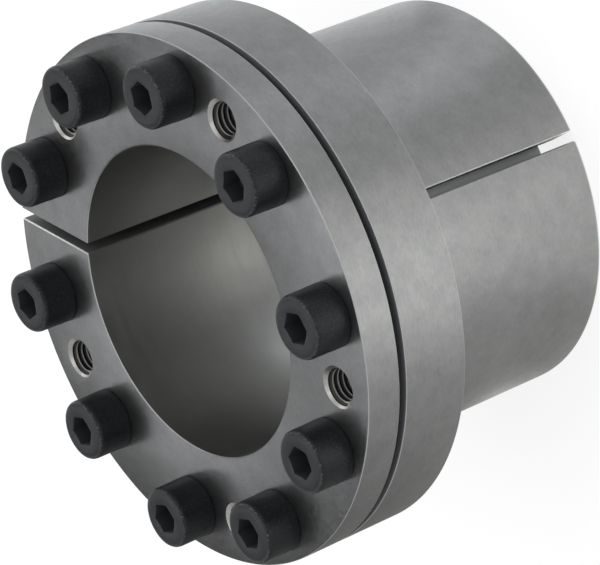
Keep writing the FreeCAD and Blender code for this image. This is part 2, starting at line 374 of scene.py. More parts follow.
place = tree.nodes.new("GeometryNodeInputPosition")
inward = add_node(tree, "GeometryNodeInputNamedAttribute", {"Name": "inward"}, data_type="FLOAT_VECTOR")
outline_r, _, outline_z = outline_value(tree, outline, row, place.outputs[0])
inward_r, _, inward_z = outline_value(tree, outline, row, inward.outputs[0])
radius = outline_r + inward_r * bevel * at_wall
height = outline_z + inward_z * bevel * at_wall
to_wall = ((half_gap + bevel - bevel * at_wall) / radius).to("ARCSINE")
share = ((column - 1.0) / (steps - 2.0)).between(0.0, 1.0)
angle = to_wall + (to_wall * -2.0 + math.tau) * share + gap_angle
bend_grid(tree, given, sheet, radius, angle, height)
turned_ring = tree
print("tree made:", tree.name)

# %% [markdown]
# ## Outlines with broken edges
#
# No outer edge on a turned part is sharp. Each corner of an outline is written with the width
# of its bevel, and four short steps round it off, so that it catches a thin line of light as
# the real edges do. A width of 0 leaves an inside corner as it is.

# %% Rounded outlines
ROUND_STEPS = 4
SHARPEST = 0.3


def rounded(corners):
    """Swaps each corner (radius, height, bevel) for a few points along a round edge."""
    path = []
    for number, (r, z, cut) in enumerate(corners):
        corner = Vector((r, z))
        before = Vector(corners[number - 1][:2])
        after = Vector(corners[(number + 1) % len(corners)][:2])
        if cut == 0:
            path.append(corner)
            continue
        start = corner + (before - corner).normalized() * cut
        end = corner + (after - corner).normalized() * cut
        for step in range(ROUND_STEPS + 1):
            share = step / ROUND_STEPS
            first = start.lerp(corner, share)
            second = corner.lerp(end, share)
            path.append(first.lerp(second, share))
    return path


def inward_directions(path):
    """At each point of a closed outline, the way that moves both its edges in by one."""
    area = sum(a.x * b.y - b.x * a.y for a, b in zip(path, path[1:] + path[:1]))
    turn = 1 if area > 0 else -1
    directions = []
    for number, point in enumerate(path):
        into = (point - path[number - 1]).normalized()
        out = (path[(number + 1) % len(path)] - point).normalized()
        first = Vector((-into.y, into.x)) * turn
        second = Vector((-out.y, out.x)) * turn
        middle = (first + second).normalized()
        directions.append(middle / max(middle.dot(first), SHARPEST))
    return directions


def closed_outline(corners):
    """The starting mesh of a ring: its rounded outline, with the inward directions."""
    path = rounded(corners)
    inward = inward_directions(path)
    mesh = outline_mesh([(p.x, 0, p.y) for p in path + path[:1]])
    attribute = mesh.attributes.new("inward", "FLOAT_VECTOR", "POINT")
    for item, way in zip(attribute.data, inward + inward[:1]):
        item.vector = (way.x, 0, way.y)
    return mesh


def cap_slit(mesh):
    """Closes the two open ends that the slit leaves in a turned ring."""
    work = bmesh.new()
    work.from_mesh(mesh)
    open_edges = [edge for edge in work.edges if edge.is_boundary]
    bmesh.ops.holes_fill(work, edges=open_edges, sides=0)
    return face_outwards(written(work, mesh))


print("outline helpers ready")

# %% [markdown]
# ## Cutting a thread
#
# A thread is a groove that climbs one pitch each turn. A real one has flats at crest and root
# with straight flanks between, here as shares of the pitch. The grid's rows follow the groove:
# four rows belong to each turn, and every row starts one pitch higher after going once round,
# so crest and root stay crisp with few faces. The same tree makes a screw's shank and the plug
# that cuts a tapped hole. Both measure the spiral from the same height and the same side, so
# screw and hole stay in mesh, also while the screws turn and the ring moves.

# %% Tree: threaded rod with a turned head
THREAD_PITCH = 1.25 * MM
ROWS_A_TURN = 4
CREST_FLAT = 0.125
FLANK = 0.3125
ROOT_FLAT = 0.25
HEX_SIDE = math.radians(60)
MOUTH_SLOPE = math.tan(math.radians(12))
ROD_SIZES = ("Bottom", "Top", "Crest", "Root", "Tip", "Key_Turn", "Hex_Flat")

tree, given = new_shape_tree("threaded rod", Around="count", Turns="count", Centre="place",
                             Finish="finish", **{name: "number" for name in ROD_SIZES})
outline = given.outputs["Shape"]
ask = {name: Number(tree, given.outputs[name]) for name in ("Around", "Turns") + ROD_SIZES}
thread_rows = ask["Turns"] * ROWS_A_TURN + 1.0
rows = thread_rows + point_count(tree, outline) + 1.0
sheet, column, row = lay_grid(tree, ask["Around"] + 1.0, rows)
turned = column / ask["Around"] + ask["Key_Turn"] / math.tau

groove_row = row - 1.0
turn_number = ((groove_row + 0.5) / ROWS_A_TURN).to("FLOOR")
corner = groove_row - turn_number * ROWS_A_TURN
climb = corner.between(0, 1) * CREST_FLAT
climb = climb + (corner - 1.0).between(0, 1) * FLANK
climb = climb + (corner - 2.0).between(0, 1) * ROOT_FLAT
first_turn = (ask["Bottom"] / THREAD_PITCH).to("FLOOR") - 2.0
thread_z = (first_turn + turn_number + climb + turned) * THREAD_PITCH
thread_z = thread_z.between(ask["Bottom"], ask["Top"])
phase = (thread_z / THREAD_PITCH - turned).to("FRACT")
off_crest = ((phase + (0.5 - CREST_FLAT / 2)).to("FRACT") - 0.5).to("ABSOLUTE")
depth = ((off_crest - CREST_FLAT / 2) / FLANK).between(0, 1)
thread_r = ask["Crest"] - (ask["Crest"] - ask["Root"]) * depth
tip_r = ask["Crest"] - ask["Tip"] + (thread_z - ask["Bottom"])
run_out_r = ask["Crest"] - (ask["Top"] - thread_z)
thread_r = thread_r.to("MAXIMUM", run_out_r).to("MINIMUM", tip_r) * row.to("GREATER_THAN", 0.5)

place = tree.nodes.new("GeometryNodeInputPosition")
head_row = (row - thread_rows - 1.0).to("MAXIMUM", 0.0)
head_r, mark, head_z = outline_value(tree, outline, head_row, place.outputs[0])
around = column / ask["Around"] * math.tau
from_side = (around / HEX_SIDE + 0.5).to("FRACT") * HEX_SIDE - HEX_SIDE / 2
hex_r = ask["Hex_Flat"] / from_side.to("COSINE")
is_hex = mark.to("GREATER_THAN", 0.5)
on_cone = mark.to("GREATER_THAN", 1.5)
head_r = head_r * (-is_hex + 1.0) + hex_r * is_hex
head_z = head_z + (hex_r - ask["Hex_Flat"]) * MOUTH_SLOPE * on_cone

is_head = row.to("GREATER_THAN", thread_rows + 0.5)
radius = thread_r * (-is_head + 1.0) + head_r * is_head
height = thread_z * (-is_head + 1.0) + head_z * is_head
bend_grid(tree, given, sheet, radius, turned * math.tau, height, given.outputs["Centre"])
threaded_rod = tree
print("tree made:", tree.name)

# %% [markdown]
# ## Drilling holes round a circle
#
# A dividing head turns the ring under the drill by the same angle each time. The tree puts a
# copy of the cutter at each point of a circle and takes them all out of the ring in one
# boolean. The copies aren't turned, which keeps every thread's spiral starting from the same
# side.

# %% Tree: holes round a circle
tree, given = new_shape_tree("holes round a circle", Cutter="piece", Count="count",
                             Circle="number", First="number", Finish="finish")
spots = add_node(tree, "GeometryNodeMeshCircle",
                 {"Vertices": given.outputs["Count"], "Radius": given.outputs["Circle"]})
turn = add_node(tree, "ShaderNodeCombineXYZ", {"Z": given.outputs["First"]})
aimed = add_node(tree, "GeometryNodeTransform",
                 {"Geometry": spots.outputs[0], "Rotation": turn.outputs[0]})
cutter = add_node(tree, "GeometryNodeObjectInfo", {"Object": given.outputs["Cutter"]})
copies = add_node(tree, "GeometryNodeInstanceOnPoints",
                  {"Points": aimed.outputs[0], "Instance": cutter.outputs["Geometry"]})
solid = add_node(tree, "GeometryNodeRealizeInstances", {"Geometry": copies.outputs[0]})
holes = add_node(tree, "GeometryNodeMeshBoolean",
                 {"Mesh 1": given.outputs["Shape"], "Mesh 2": solid.outputs[0]},
                 operation="DIFFERENCE", solver="EXACT")
close_tree(tree, given, holes.outputs["Mesh"])
drilled_ring = tree
print("tree made:", tree.name)


def drill(mesh, cutter_mesh, finish, **circle):
    """Cuts a closed mesh out of another, round a circle or, with none given, just once."""
    tool = add_object("tool", face_outwards(cutter_mesh))
    if circle:
        made = grow(drilled_ring, mesh, Cutter=tool, Finish=finish, **circle)
    else:
        made = run_once(mesh, "BOOLEAN", {"object": tool, "operation": "DIFFERENCE", "solver": "EXACT"})
    bpy.data.objects.remove(tool)
    return made


# %% [markdown]
# ## Turning marks
#
# A lathe tool leaves fine grooves round the axis: lines along the circumference on a wall and
# circles on a face. One noise gives both if it is read at a place that changes fast with the
# distance from the axis and with the height, and only slowly round the ring. The group puts
# out the marks, wider bands of the same kind and a patchy stain, and each material uses them
# with its own strength.

# %% Group: turning marks


def new_shader_group(name, inputs, outputs):
    """A shader group that takes and gives named numbers, and its end nodes."""
    group = bpy.data.node_groups.new(name, "ShaderNodeTree")
    for label, value in inputs.items():
        socket = group.interface.new_socket(label, in_out="INPUT", socket_type=KINDS["number"])
        socket.default_value = value
    for label in outputs:
        group.interface.new_socket(label, in_out="OUTPUT", socket_type=KINDS["number"])
    return group, group.nodes.new("NodeGroupInput"), group.nodes.new("NodeGroupOutput")


BAND_WIDTH = 6.0
BAND_SEED = 31.0
marks_group, marks_in, marks_out = new_shader_group(
    "turning marks", {"Marks per metre": 5000.0, "Length of marks": MM, "Stain per metre": 220.0},
    ("Marks", "Bands", "Stain"))
x, y, z = parts(marks_group, coordinates(marks_group, "Object"))
radius = (x * x + y * y).to("SQRT").to("MAXIMUM", MM)
length = Number(marks_group, marks_in.outputs["Length of marks"])


def ring_noise(per_metre, seed, detail):
    """Noise that runs along the turning marks, finer or coarser."""
    way = add_node(marks_group, "ShaderNodeCombineXYZ", {
        "X": x / length,
        "Y": y / length,
        "Z": radius * per_metre + seed,
    })
    noise = add_node(marks_group, "ShaderNodeTexNoise",
                     {"Vector": way.outputs[0], "W": z * per_metre, "Scale": 1.0, "Detail": detail},
                     noise_dimensions="4D")
    return noise.outputs["Fac"]


def plain_noise(tree, per_metre, detail, roughness=0.5):
    """Noise with no direction, of so many grains a metre."""
    noise = add_node(tree, "ShaderNodeTexNoise", {
        "Vector": coordinates(tree, "Object"),
        "Scale": per_metre,
        "Detail": detail,
        "Roughness": roughness,
    })
    return noise.outputs["Fac"]


fineness = Number(marks_group, marks_in.outputs["Marks per metre"])
feed(marks_group, marks_out, {
    "Marks": ring_noise(fineness, 0.0, 2.0),
    "Bands": ring_noise(fineness / BAND_WIDTH, BAND_SEED, 1.0),
    "Stain": plain_noise(marks_group, marks_in.outputs["Stain per metre"], 4.0, 0.6),
})
print("group made:", marks_group.name)

# %% [markdown]
# ## Turned steel
#
# The rings are bare, lightly oiled steel. It is a metal whose base colour is what it would
# show of a white room, a middle grey. The marks vary its roughness and lift its surface by a
# bump. The bevels get a lighter grey, a painted highlight along the edges: a mask finds them as
# the places that face neither along the axis nor square to it. The bore is honed to size after
# turning, so the same function makes it a second finish, whose brighter grey is painted light.

# %% Materials: turned steel, honed steel


def new_material(name):
    material = bpy.data.materials.new(name)
    material.use_nodes = True
    tree = material.node_tree
    return material, tree, tree.nodes["Principled BSDF"]


def ramp(tree, factor, low, high, from_low=0.0, from_high=1.0):
    """Maps a number from one range to another, with a stop at both ends."""
    node = add_node(tree, "ShaderNodeMapRange",
                    {"Value": factor, "From Min": from_low, "From Max": from_high,
                     "To Min": low, "To Max": high})
    return node.outputs["Result"]


def mix_colours(tree, factor, first, second):
    """Mixes two colours, each either a socket or three numbers."""
    a, b = [given if isinstance(given, bpy.types.NodeSocket) else (*given, 1.0)
            for given in (first, second)]
    node = add_node(tree, "ShaderNodeMix", {"Factor": factor, "A": a, "B": b}, data_type="RGBA")
    return node.outputs["Result"]


def facing_along(tree):
    """How squarely the surface faces along the turning axis, from 0 to 1."""
    return parts(tree, coordinates(tree, "Normal"))[2].to("ABSOLUTE")


def bump(tree, height, strength, depth):
    """The surface's own direction, tilted as if a pattern stood up from it."""
    node = add_node(tree, "ShaderNodeBump", {"Height": height, "Strength": strength, "Distance": depth})
    return node.outputs["Normal"]


def lathe_finish(name, clean, dull, bright, smooth, rough, lifted, length):
    """Steel with turning marks between two greys and two roughnesses, with a painted highlight on the
    bevels.
    """
    material, tree, shader = new_material(name)
    marks = add_node(tree, "ShaderNodeGroup", {"Length of marks": length}, node_tree=marks_group)
    dullness = Number(tree, marks.outputs["Stain"]) * 0.5 + Number(tree, marks.outputs["Marks"]) * 0.5
    grey = mix_colours(tree, ramp(tree, dullness, 0.0, 1.0, 0.35, 0.65), clean, dull)
    # Painted highlight: the bevels get the lighter grey.
    bevel_highlight_mask = ramp(tree, (facing_along(tree) - 0.6).to("ABSOLUTE"), 1.0, 0.0, 0.25, 0.35)
    feed(tree, shader, {
        "Base Color": mix_colours(tree, bevel_highlight_mask, grey, bright),
        "Metallic": 1.0,
        "Roughness": ramp(tree, marks.outputs["Bands"], smooth, rough, 0.3, 0.7),
        "Normal": bump(tree, marks.outputs["Marks"], lifted, 0.02 * MM),
    })
    print("material made:", name)
    return material


turned_steel = lathe_finish(
    "turned_steel", clean=(0.21, 0.213, 0.216), dull=(0.16, 0.163, 0.166), bright=(0.3, 0.304, 0.308),
    smooth=0.29, rough=0.35, lifted=0.3, length=MM)
# The bore's finer marks are the honing; its brighter grey is painted light inside the bore.
honed_and_lit_steel = lathe_finish(
    "honed_and_lit_steel", clean=(0.385, 0.388, 0.38), dull=(0.345, 0.348, 0.34), bright=(0.42, 0.42, 0.42),
    smooth=0.28, rough=0.32, lifted=0.05, length=6 * MM)

# %% [markdown]
# ## Cut threads, cones and sawn walls, with painted light and shade
#
# Some places look different from the turned faces. The flanks of a tapped thread are painted
# nearly black, painted shade in the grooves, while its crests, its countersunk mouth and the
# bevels along the slit are painted light grey, a painted highlight. The cones are greased, and
# their dark grey is also painted shade where the slot shows them. The two faces across the gap
# between the flanges are dull, and their dark grey is partly painted shade in the gap. The walls
# of a saw cut are rough, the slot's upper edge is painted light grey as a painted highlight, and
# a screw's key socket is duller than its head. Each gets a plain steel of its own, made by one
# function.

# %% Materials: plain steels
ROUGH_SPREAD = 0.05


def plain_steel(name, colour, uneven, roughness, grain, metallic=1.0):
    """Steel without turning marks: two greys mixed by a noise of so many grains a metre."""
    material, tree, shader = new_material(name)
    oil = plain_noise(tree, grain, 2.0)
    feed(tree, shader, {
        "Base Color": mix_colours(tree, oil, colour, [part * uneven for part in colour]),
        "Metallic": metallic,
        "Roughness": ramp(tree, oil, roughness - ROUGH_SPREAD, roughness + ROUGH_SPREAD),
    })
    print("material made:", name)
    return material


# Painted shade: the thread flanks are nearly black. Painted highlight: the crests are light grey.
flank_shade = plain_steel("flank_shade", (0.02, 0.02, 0.02), 2.0, 0.5, 1500.0)
crest_highlight = plain_steel("crest_highlight", (0.7, 0.7, 0.67), 0.7, 0.6, 1500.0, 0.3)
# The cone's and the gap faces' dark greys are partly painted shade.
greased_and_shaded_cone = plain_steel("greased_and_shaded_cone", (0.115, 0.118, 0.124), 1.4, 0.4, 400.0)
gap_face = plain_steel("gap_face", (0.13, 0.134, 0.14), 0.8, 0.6, 600.0, 0.2)
# Painted highlights: the slot's upper edge, the hole mouths and the slit bevels.
slot_lip_highlight = plain_steel("slot_lip_highlight", (0.6, 0.61, 0.62), 0.7, 0.35, 800.0)
mouth_and_slit_highlight = plain_steel("mouth_and_slit_highlight", (0.32, 0.316, 0.3), 0.65, 0.45, 1500.0)
sawn_wall = plain_steel("sawn_wall", (0.16, 0.165, 0.165), 0.8, 0.6, 600.0, 0.7)
socket_wall = plain_steel("socket_wall", (0.03, 0.033, 0.037), 0.9, 0.6, 900.0, 0.5)

# %% [markdown]
# ## Black oxide
#
# The screws are hardened steel with a thin black oxide skin, dark and satin. The end face is
# painted a little lighter than the side, painted light where it faces the bright room. Fine grey
# specks show where the skin is rubbed thin, a few everywhere; the many on the edges are partly
# wear and partly a painted highlight. A mask for the edges and one for the end face come from
# the way the surface faces, compared with the screw's axis.

# %% Material: black oxide
BLACK_SIDE = (0.012, 0.013, 0.015)
BLACK_FACE_LIT = (0.033, 0.035, 0.038)
WORN_AND_GLINT_GREY = (0.12, 0.122, 0.128)
WORN_AWAY_FROM_EDGE = 0.12

black_oxide, tree, shader = new_material("black_oxide")
mottle = plain_noise(tree, 900.0, 4.0, 0.65)
along = facing_along(tree)
on_edge = Number(tree, ramp(tree, (along - 0.65).to("ABSOLUTE"), 1.0, 0.0, 0.1, 0.3))
specks = Number(tree, ramp(tree, plain_noise(tree, 2600.0, 1.0), 0.0, 1.0, 0.5, 0.75))
# Grey specks: wear, and on the edges also a painted highlight.
worn_and_glinting = specks * (on_edge * (1 - WORN_AWAY_FROM_EDGE) + WORN_AWAY_FROM_EDGE)
# Painted light: the end face is made lighter than the side.
at_end = Number(tree, ramp(tree, along, 0.1, 0.9, 0.5, 0.95))
uneven = at_end + Number(tree, mottle) * 0.3 - 0.15
skin = mix_colours(tree, uneven.between(0.0, 1.0), BLACK_SIDE, BLACK_FACE_LIT)
feed(tree, shader, {
    "Base Color": mix_colours(tree, worn_and_glinting, skin, WORN_AND_GLINT_GREY),
    "Metallic": 0.3,
    "Specular IOR Level": 0.16,
    "Roughness": ramp(tree, mottle, 0.35, 0.45, 0.3, 0.7),
    "Normal": bump(tree, mottle, 0.25, 0.03 * MM),
})
print("material made:", black_oxide.name)

# %% [markdown]
# ## The outer ring
#
# One turned piece: a thick flange with ten tapped holes, and behind it a sleeve with a saw cut
# along one side. The slot stops just short of the flange, so it can't be left out of the
# lathe's grid, and a boolean takes it out. Its tool is a blade that flares where it leaves the
# metal, which gives the cut its bevels. One tool cuts a circle of tapped holes into a flange,
# and two more open their mouths.

# %% Outer ring
AROUND_RING = 240
AROUND_HOLE = 48
BEYOND = 1.0 * MM
TAP_CREST = 4.0 * MM
TAP_ROOT = 3.32 * MM
MOUTH_R = 4.35 * MM
MOUTH_PAST = 0.3 * MM
CORNER_STEPS = 6

outer_outline = closed_outline([
    (seat_radius(SLEEVE_END), SLEEVE_END, EDGE),
    (SLEEVE_R, SLEEVE_END, END_ROUND),
    (SLEEVE_R, FLANGE_BACK, 0),
    (FLANGE_R, FLANGE_BACK, EDGE),
    (FLANGE_R, FLANGE_FRONT, EDGE),
    (seat_radius(FLANGE_FRONT), FLANGE_FRONT, EDGE),
])
outer_mesh = face_outwards(grow(turned_ring, outer_outline, Steps=AROUND_RING, Gap_Angle=SLOT_ANGLE,
                                Finish=turned_steel))


def slot_blade():
    """A saw blade along the sleeve, wider where it leaves the metal."""
    half = SLOT_WIDTH / 2
    rows = [(SLEEVE_END - BEYOND, half + SLOT_CORNER + BEYOND)]
    for step in range(CORNER_STEPS + 1):
        turn = math.radians(90 * step / CORNER_STEPS)
        rows.append((SLEEVE_END + SLOT_CORNER * (1 - math.cos(turn)),
                     half + SLOT_CORNER * (1 - math.sin(turn))))
    rows.append((FLANGE_BACK - SLOT_STOP, half))
    work = bmesh.new()
    loops = []
    for height, thick in rows:
        wide = thick + SAW_BEVEL + BEYOND
        inner = seat_radius(height)
        across = [(inner - BEYOND, wide), (inner + SAW_BEVEL, thick), (SLEEVE_R - SAW_BEVEL, thick),
                  (SLEEVE_R + BEYOND, wide)]
        corners = across + [(r, -side) for r, side in reversed(across)]
        loops.append([work.verts.new((r, side, height)) for r, side in corners])
    for low, high in zip(loops, loops[1:]):
        for number in range(len(low)):
            following = (number + 1) % len(low)
            work.faces.new((low[number], low[following], high[following], high[number]))
    work.faces.new(loops[0])
    work.faces.new(loops[-1])
    work.transform(Matrix.Rotation(SLOT_ANGLE, 4, "Z"))
    bmesh.ops.triangulate(work, faces=work.faces)
    return written(work, bpy.data.meshes.new("slot_blade"))


def tap(bottom, top, start=0.0):
    """The plug that cuts a tapped hole, longer than the hole, its spiral raised by start."""
    turns = math.ceil((top - bottom) / THREAD_PITCH) + 3
    end = outline_mesh([(TAP_CREST, 0, top - start), (0, 0, top - start)])
    return grow(threaded_rod, end, Around=AROUND_HOLE, Turns=turns, Bottom=bottom - start,
                Top=top - start, Crest=TAP_CREST, Root=TAP_ROOT, Centre=(0, 0, start),
                Finish=turned_steel)


def round_tool(bottom, bottom_r, top, top_r):
    """Mesh code for a closed cone or cylinder between two heights."""
    work = bmesh.new()
    bmesh.ops.create_cone(work, cap_ends=True, segments=AROUND_HOLE, radius1=bottom_r, radius2=top_r,
                          depth=top - bottom, matrix=Matrix.Translation((0, 0, (top + bottom) / 2)))
    return work


def countersink(face, outwards):
    """The cone that opens a hole's mouth in a face that looks up (1) or down (-1)."""
    depth = MOUTH_R - TAP_ROOT + MOUTH_PAST
    work = round_tool(-depth, MOUTH_R - depth, BEYOND, MOUTH_R + BEYOND)
    if outwards < 0:
        bmesh.ops.rotate(work, verts=work.verts, matrix=Matrix.Rotation(math.pi, 3, "X"))
    bmesh.ops.translate(work, verts=work.verts, vec=(0, 0, face))
    return written(work, bpy.data.meshes.new("countersink"))


def tap_holes(mesh, bottom, top, circle, start=0.0):
    """Cuts a circle of tapped holes through a flange and opens their mouths."""
    plug = tap(bottom - BEYOND, top + BEYOND, start)
    for cutter in (plug, countersink(bottom, -1), countersink(top, 1)):
        mesh = drill(mesh, cutter, turned_steel, **circle)
    return mesh


outer_mesh = drill(outer_mesh, slot_blade(), turned_steel)
screws_round = dict(Count=SCREW_COUNT, Circle=SCREW_CIRCLE_R, First=SCREW_PITCH / 2)
outer_mesh = tap_holes(outer_mesh, FLANGE_BACK, FLANGE_FRONT, screws_round)
print("outer ring:", len(outer_mesh.polygons), "faces")

# %% [markdown]
# ## The inner ring
#
# The second turned piece: a thinner flange in front, and a long cone that reaches back inside
# the sleeve. It is sawn through on one side, so its grid stops at the slit. Ten plain holes
# pass the screws. Between every second pair a tapped jacking hole stays empty: a screw moved
# there pushes the rings apart again. Its spiral starts where the photograph shows it.

# %% Inner ring
inner_outline = closed_outline([
    (BORE_R, RING_END, EDGE),
    (cone_radius(RING_END), RING_END, EDGE),
    (cone_radius(RING_BACK), RING_BACK, 0),
    (FLANGE_R, RING_BACK, EDGE),
    (FLANGE_R, RING_FRONT, EDGE),
    (BORE_R, RING_FRONT, EDGE),
])
inner_mesh = cap_slit(grow(
    turned_ring, inner_outline, Steps=AROUND_RING, Half_Gap=SLIT_WIDTH / 2, Bevel=SAW_BEVEL,
    Gap_Angle=SLIT_ANGLE, Finish=turned_steel))

JACK_START = -0.5 * MM
jacks_round = dict(Count=SCREW_COUNT // 2, Circle=SCREW_CIRCLE_R, First=0.0)
plain_drill = round_tool(RING_BACK - BEYOND, PASS_HOLE_R, RING_FRONT + BEYOND, PASS_HOLE_R)
plain_drill = written(plain_drill, bpy.data.meshes.new("plain_drill"))
inner_mesh = drill(inner_mesh, plain_drill, turned_steel, **screws_round)
inner_mesh = tap_holes(inner_mesh, RING_BACK, RING_FRONT, jacks_round, JACK_START)
print("inner ring:", len(inner_mesh.polygons), "faces")

# %% [markdown]
# ## Placing a piece
#
# A finished piece takes the place of its CAD node and rides on the same body. Its faces get
# their finishes one by one, by where they lie, within small margins. Edges sharper than a given
# angle stay sharp, and the rest is shaded smooth.

# %% Place the rings
SHARP = math.radians(28)
TOUCH = 0.01 * MM
ON_FACE = 0.02 * MM
ON_MOUTH = 0.06 * MM
CREST_BAND = 0.1 * MM
UPRIGHT = 0.1


def around_hole(point, pitch, first):
    """How far a point is from the axis of the nearest hole of a circle of holes."""
    turn = math.atan2(point.y, point.x)
    turn = first + round((turn - first) / pitch) * pitch
    aside = point.y - SCREW_CIRCLE_R * math.sin(turn)
    return math.hypot(point.x - SCREW_CIRCLE_R * math.cos(turn), aside)


def tapped_part(point, bottom, top, pitch, first):
    """The finish of a face of a tapped hole, or None elsewhere."""
    away = around_hole(point, pitch, first)
    from_face = min(point.z - bottom, top - point.z)
    if from_face < TOUCH or away > MOUTH_R:
        return None
    # Painted highlights on the mouth and the crests, painted shade in the grooves.
    if abs(away - (MOUTH_R - from_face)) < ON_MOUTH:
        return mouth_and_slit_highlight
    return flank_shade if away > TAP_ROOT + CREST_BAND else crest_highlight


def beside_cut(point, angle):
    """How far out along a saw cut a point lies, and how far to the side of it."""
    out = point.x * math.cos(angle) + point.y * math.sin(angle)
    return out, point.y * math.cos(angle) - point.x * math.sin(angle)


def outer_part(polygon):
    """The outer ring's finishes: tapped holes, cone, gap face, the slot's walls and the painted
    highlight on its upper edge.
    """
    point = polygon.center
    tapped = tapped_part(point, FLANGE_BACK, FLANGE_FRONT, SCREW_PITCH, SCREW_PITCH / 2)
    if tapped:
        return tapped
    upright = abs(polygon.normal.z) < UPRIGHT
    # Cone and gap faces: darker greys that are partly painted shade.
    if upright and abs(math.hypot(point.x, point.y) - seat_radius(point.z)) < ON_FACE:
        return greased_and_shaded_cone
    if point.z > FLANGE_FRONT - TOUCH:
        return gap_face
    out, side = beside_cut(point, SLOT_ANGLE)
    past_wall = abs(side) - SLOT_WIDTH / 2
    if out < 0 or point.z > FLANGE_BACK - SLOT_STOP or past_wall > SAW_BEVEL:
        return turned_steel
    # Painted highlight along the slot's upper edge.
    if upright and side > 0 and past_wall > TOUCH and out > SLEEVE_R - SAW_BEVEL:
        return slot_lip_highlight
    return sawn_wall if abs(past_wall) < TOUCH else turned_steel


def inner_part(polygon):
    """The inner ring's finishes: jacking holes, slit, gap face, bore and cone."""
    point = polygon.center
    tapped = tapped_part(point, RING_BACK, RING_FRONT, 2 * SCREW_PITCH, 0.0)
    if tapped:
        return tapped
    radius = math.hypot(point.x, point.y)
    out, side = beside_cut(point, SLIT_ANGLE)
    past_wall = abs(side) - SLIT_WIDTH / 2
    # Painted highlight on the slit's bevels.
    if out > 0 and past_wall < SAW_BEVEL - TOUCH:
        return sawn_wall if past_wall < TOUCH else mouth_and_slit_highlight
    # The gap face and the cone are partly painted shade, and the bore's brighter finish is painted
    # light.
    if abs(polygon.normal.z) > UPRIGHT:
        return gap_face if abs(point.z - RING_BACK) < TOUCH else turned_steel
    if abs(radius - BORE_R) < ON_FACE:
        return honed_and_lit_steel
    on_cone = abs(radius - cone_radius(point.z)) < ON_FACE
    return greased_and_shaded_cone if on_cone and point.z < RING_BACK else turned_steel


def place_piece(name, mesh, node, finishes, part):
    """Shows a mesh in place of a CAD node, on that node's body, in its finishes."""
    mesh.name = name
    mesh.materials.clear()
    for finish in finishes:
        mesh.materials.append(finish)
    for polygon in mesh.polygons:
        polygon.material_index = finishes.index(part(polygon))
    mesh.shade_smooth()
    mesh.set_sharp_from_angle(angle=SHARP)
    piece = add_object(name, mesh)
    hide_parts(node)
    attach(piece, node)
    return piece


shared = [turned_steel, flank_shade, crest_highlight, mouth_and_slit_highlight, greased_and_shaded_cone, gap_face, sawn_wall]
outer_ring = place_piece("flanged_sleeve", outer_mesh, "outer_ring", shared + [slot_lip_highlight],
                         outer_part)
inner_ring = place_piece("slit_cone_ring", inner_mesh, "inner_ring", shared + [honed_and_lit_steel],
                         inner_part)
print("placed:", outer_ring.name, inner_ring.name)

# %% [markdown]
# ## The clamp screws
#
# The same tree that makes the thread also turns the head, so each screw is one closed mesh.
# Rows marked 1 follow the key's hexagon instead of a circle, and the row marked 2 also follows
# the small cone at its mouth. Each screw happens to stop at its own angle.

# %% Clamp screws
AROUND_SCREW = 72
CREST = 3.95 * MM
ROOT = 3.27 * MM
TIP = 0.9 * MM
NECK = 2.2 * MM
FILLET = 0.35 * MM
HEAD_R = 6.5 * MM
HEAD_BEVEL = 1.25 * MM
SEAT_BEVEL = 0.3 * MM
SKIRT = 2.4 * MM
SKIRT_STEP = 0.05 * MM
SKIRT_SLOPE = 0.3 * MM
HEX_FLAT = 3.0 * MM
HEX_MOUTH_R = HEX_FLAT / math.cos(HEX_SIDE / 2) + 0.05 * MM
HEX_DEPTH = 4.0 * MM
HEX_CHAMFER = 0.2 * MM
CONE_TAN = math.tan(math.radians(30))
KEY_TURNS = [45, 54, 15, 1, 23, 9, 49, 50, 50, 29]


def head_outline():
    """The screw above its thread, from the neck round the head to the socket's floor."""
    rim = rounded([
        (CREST, RING_FRONT - NECK, 0),
        (CREST, RING_FRONT, FILLET),
        (HEAD_R, RING_FRONT, SEAT_BEVEL),
        (HEAD_R, RING_FRONT + SKIRT, 0),
        (HEAD_R - SKIRT_STEP, RING_FRONT + SKIRT + SKIRT_SLOPE, 0),
        (HEAD_R - SKIRT_STEP, HEAD_TOP, HEAD_BEVEL),
        (HEX_MOUTH_R, HEAD_TOP, 0),
    ])
    path = [(p.x, 0, p.y) for p in rim]
    floor = HEAD_TOP - HEX_DEPTH
    path.append((0, 2, HEAD_TOP - (HEX_MOUTH_R - HEX_FLAT) * MOUTH_SLOPE))
    path.append((0, 1, floor))
    path.append((HEX_FLAT, 0, floor))
    path.append((0, 0, floor - HEX_FLAT * CONE_TAN))
    return path


def screw_part(polygon):
    """The black skin outside, and the socket's duller walls inside."""
    point = polygon.center
    away = math.hypot(point.x - centre[0], point.y - centre[1])
    in_socket = away < HEX_MOUTH_R and RING_FRONT < point.z < HEAD_TOP - HEX_CHAMFER
    return socket_wall if in_socket else black_oxide


thread_top = RING_FRONT - NECK
thread_turns = math.ceil((thread_top - SCREW_TIP) / THREAD_PITCH) + 3
for number, turn in enumerate(KEY_TURNS, start=1):
    node = "clamp_screw_%02d" % number
    centre = hinges[node]["pos_m"]
    mesh = grow(threaded_rod, outline_mesh(head_outline()), Around=AROUND_SCREW, Turns=thread_turns,
                Bottom=SCREW_TIP, Top=thread_top, Crest=CREST, Root=ROOT, Tip=TIP,
                Key_Turn=math.radians(turn), Hex_Flat=HEX_FLAT, Centre=(centre[0], centre[1], 0),
                Finish=black_oxide)
    place_piece("cap_screw_%02d" % number, face_outwards(mesh), node, [black_oxide, socket_wall],
                screw_part)
print("clamp screws: %d, %d faces each" % (len(KEY_TURNS), len(mesh.polygons)))

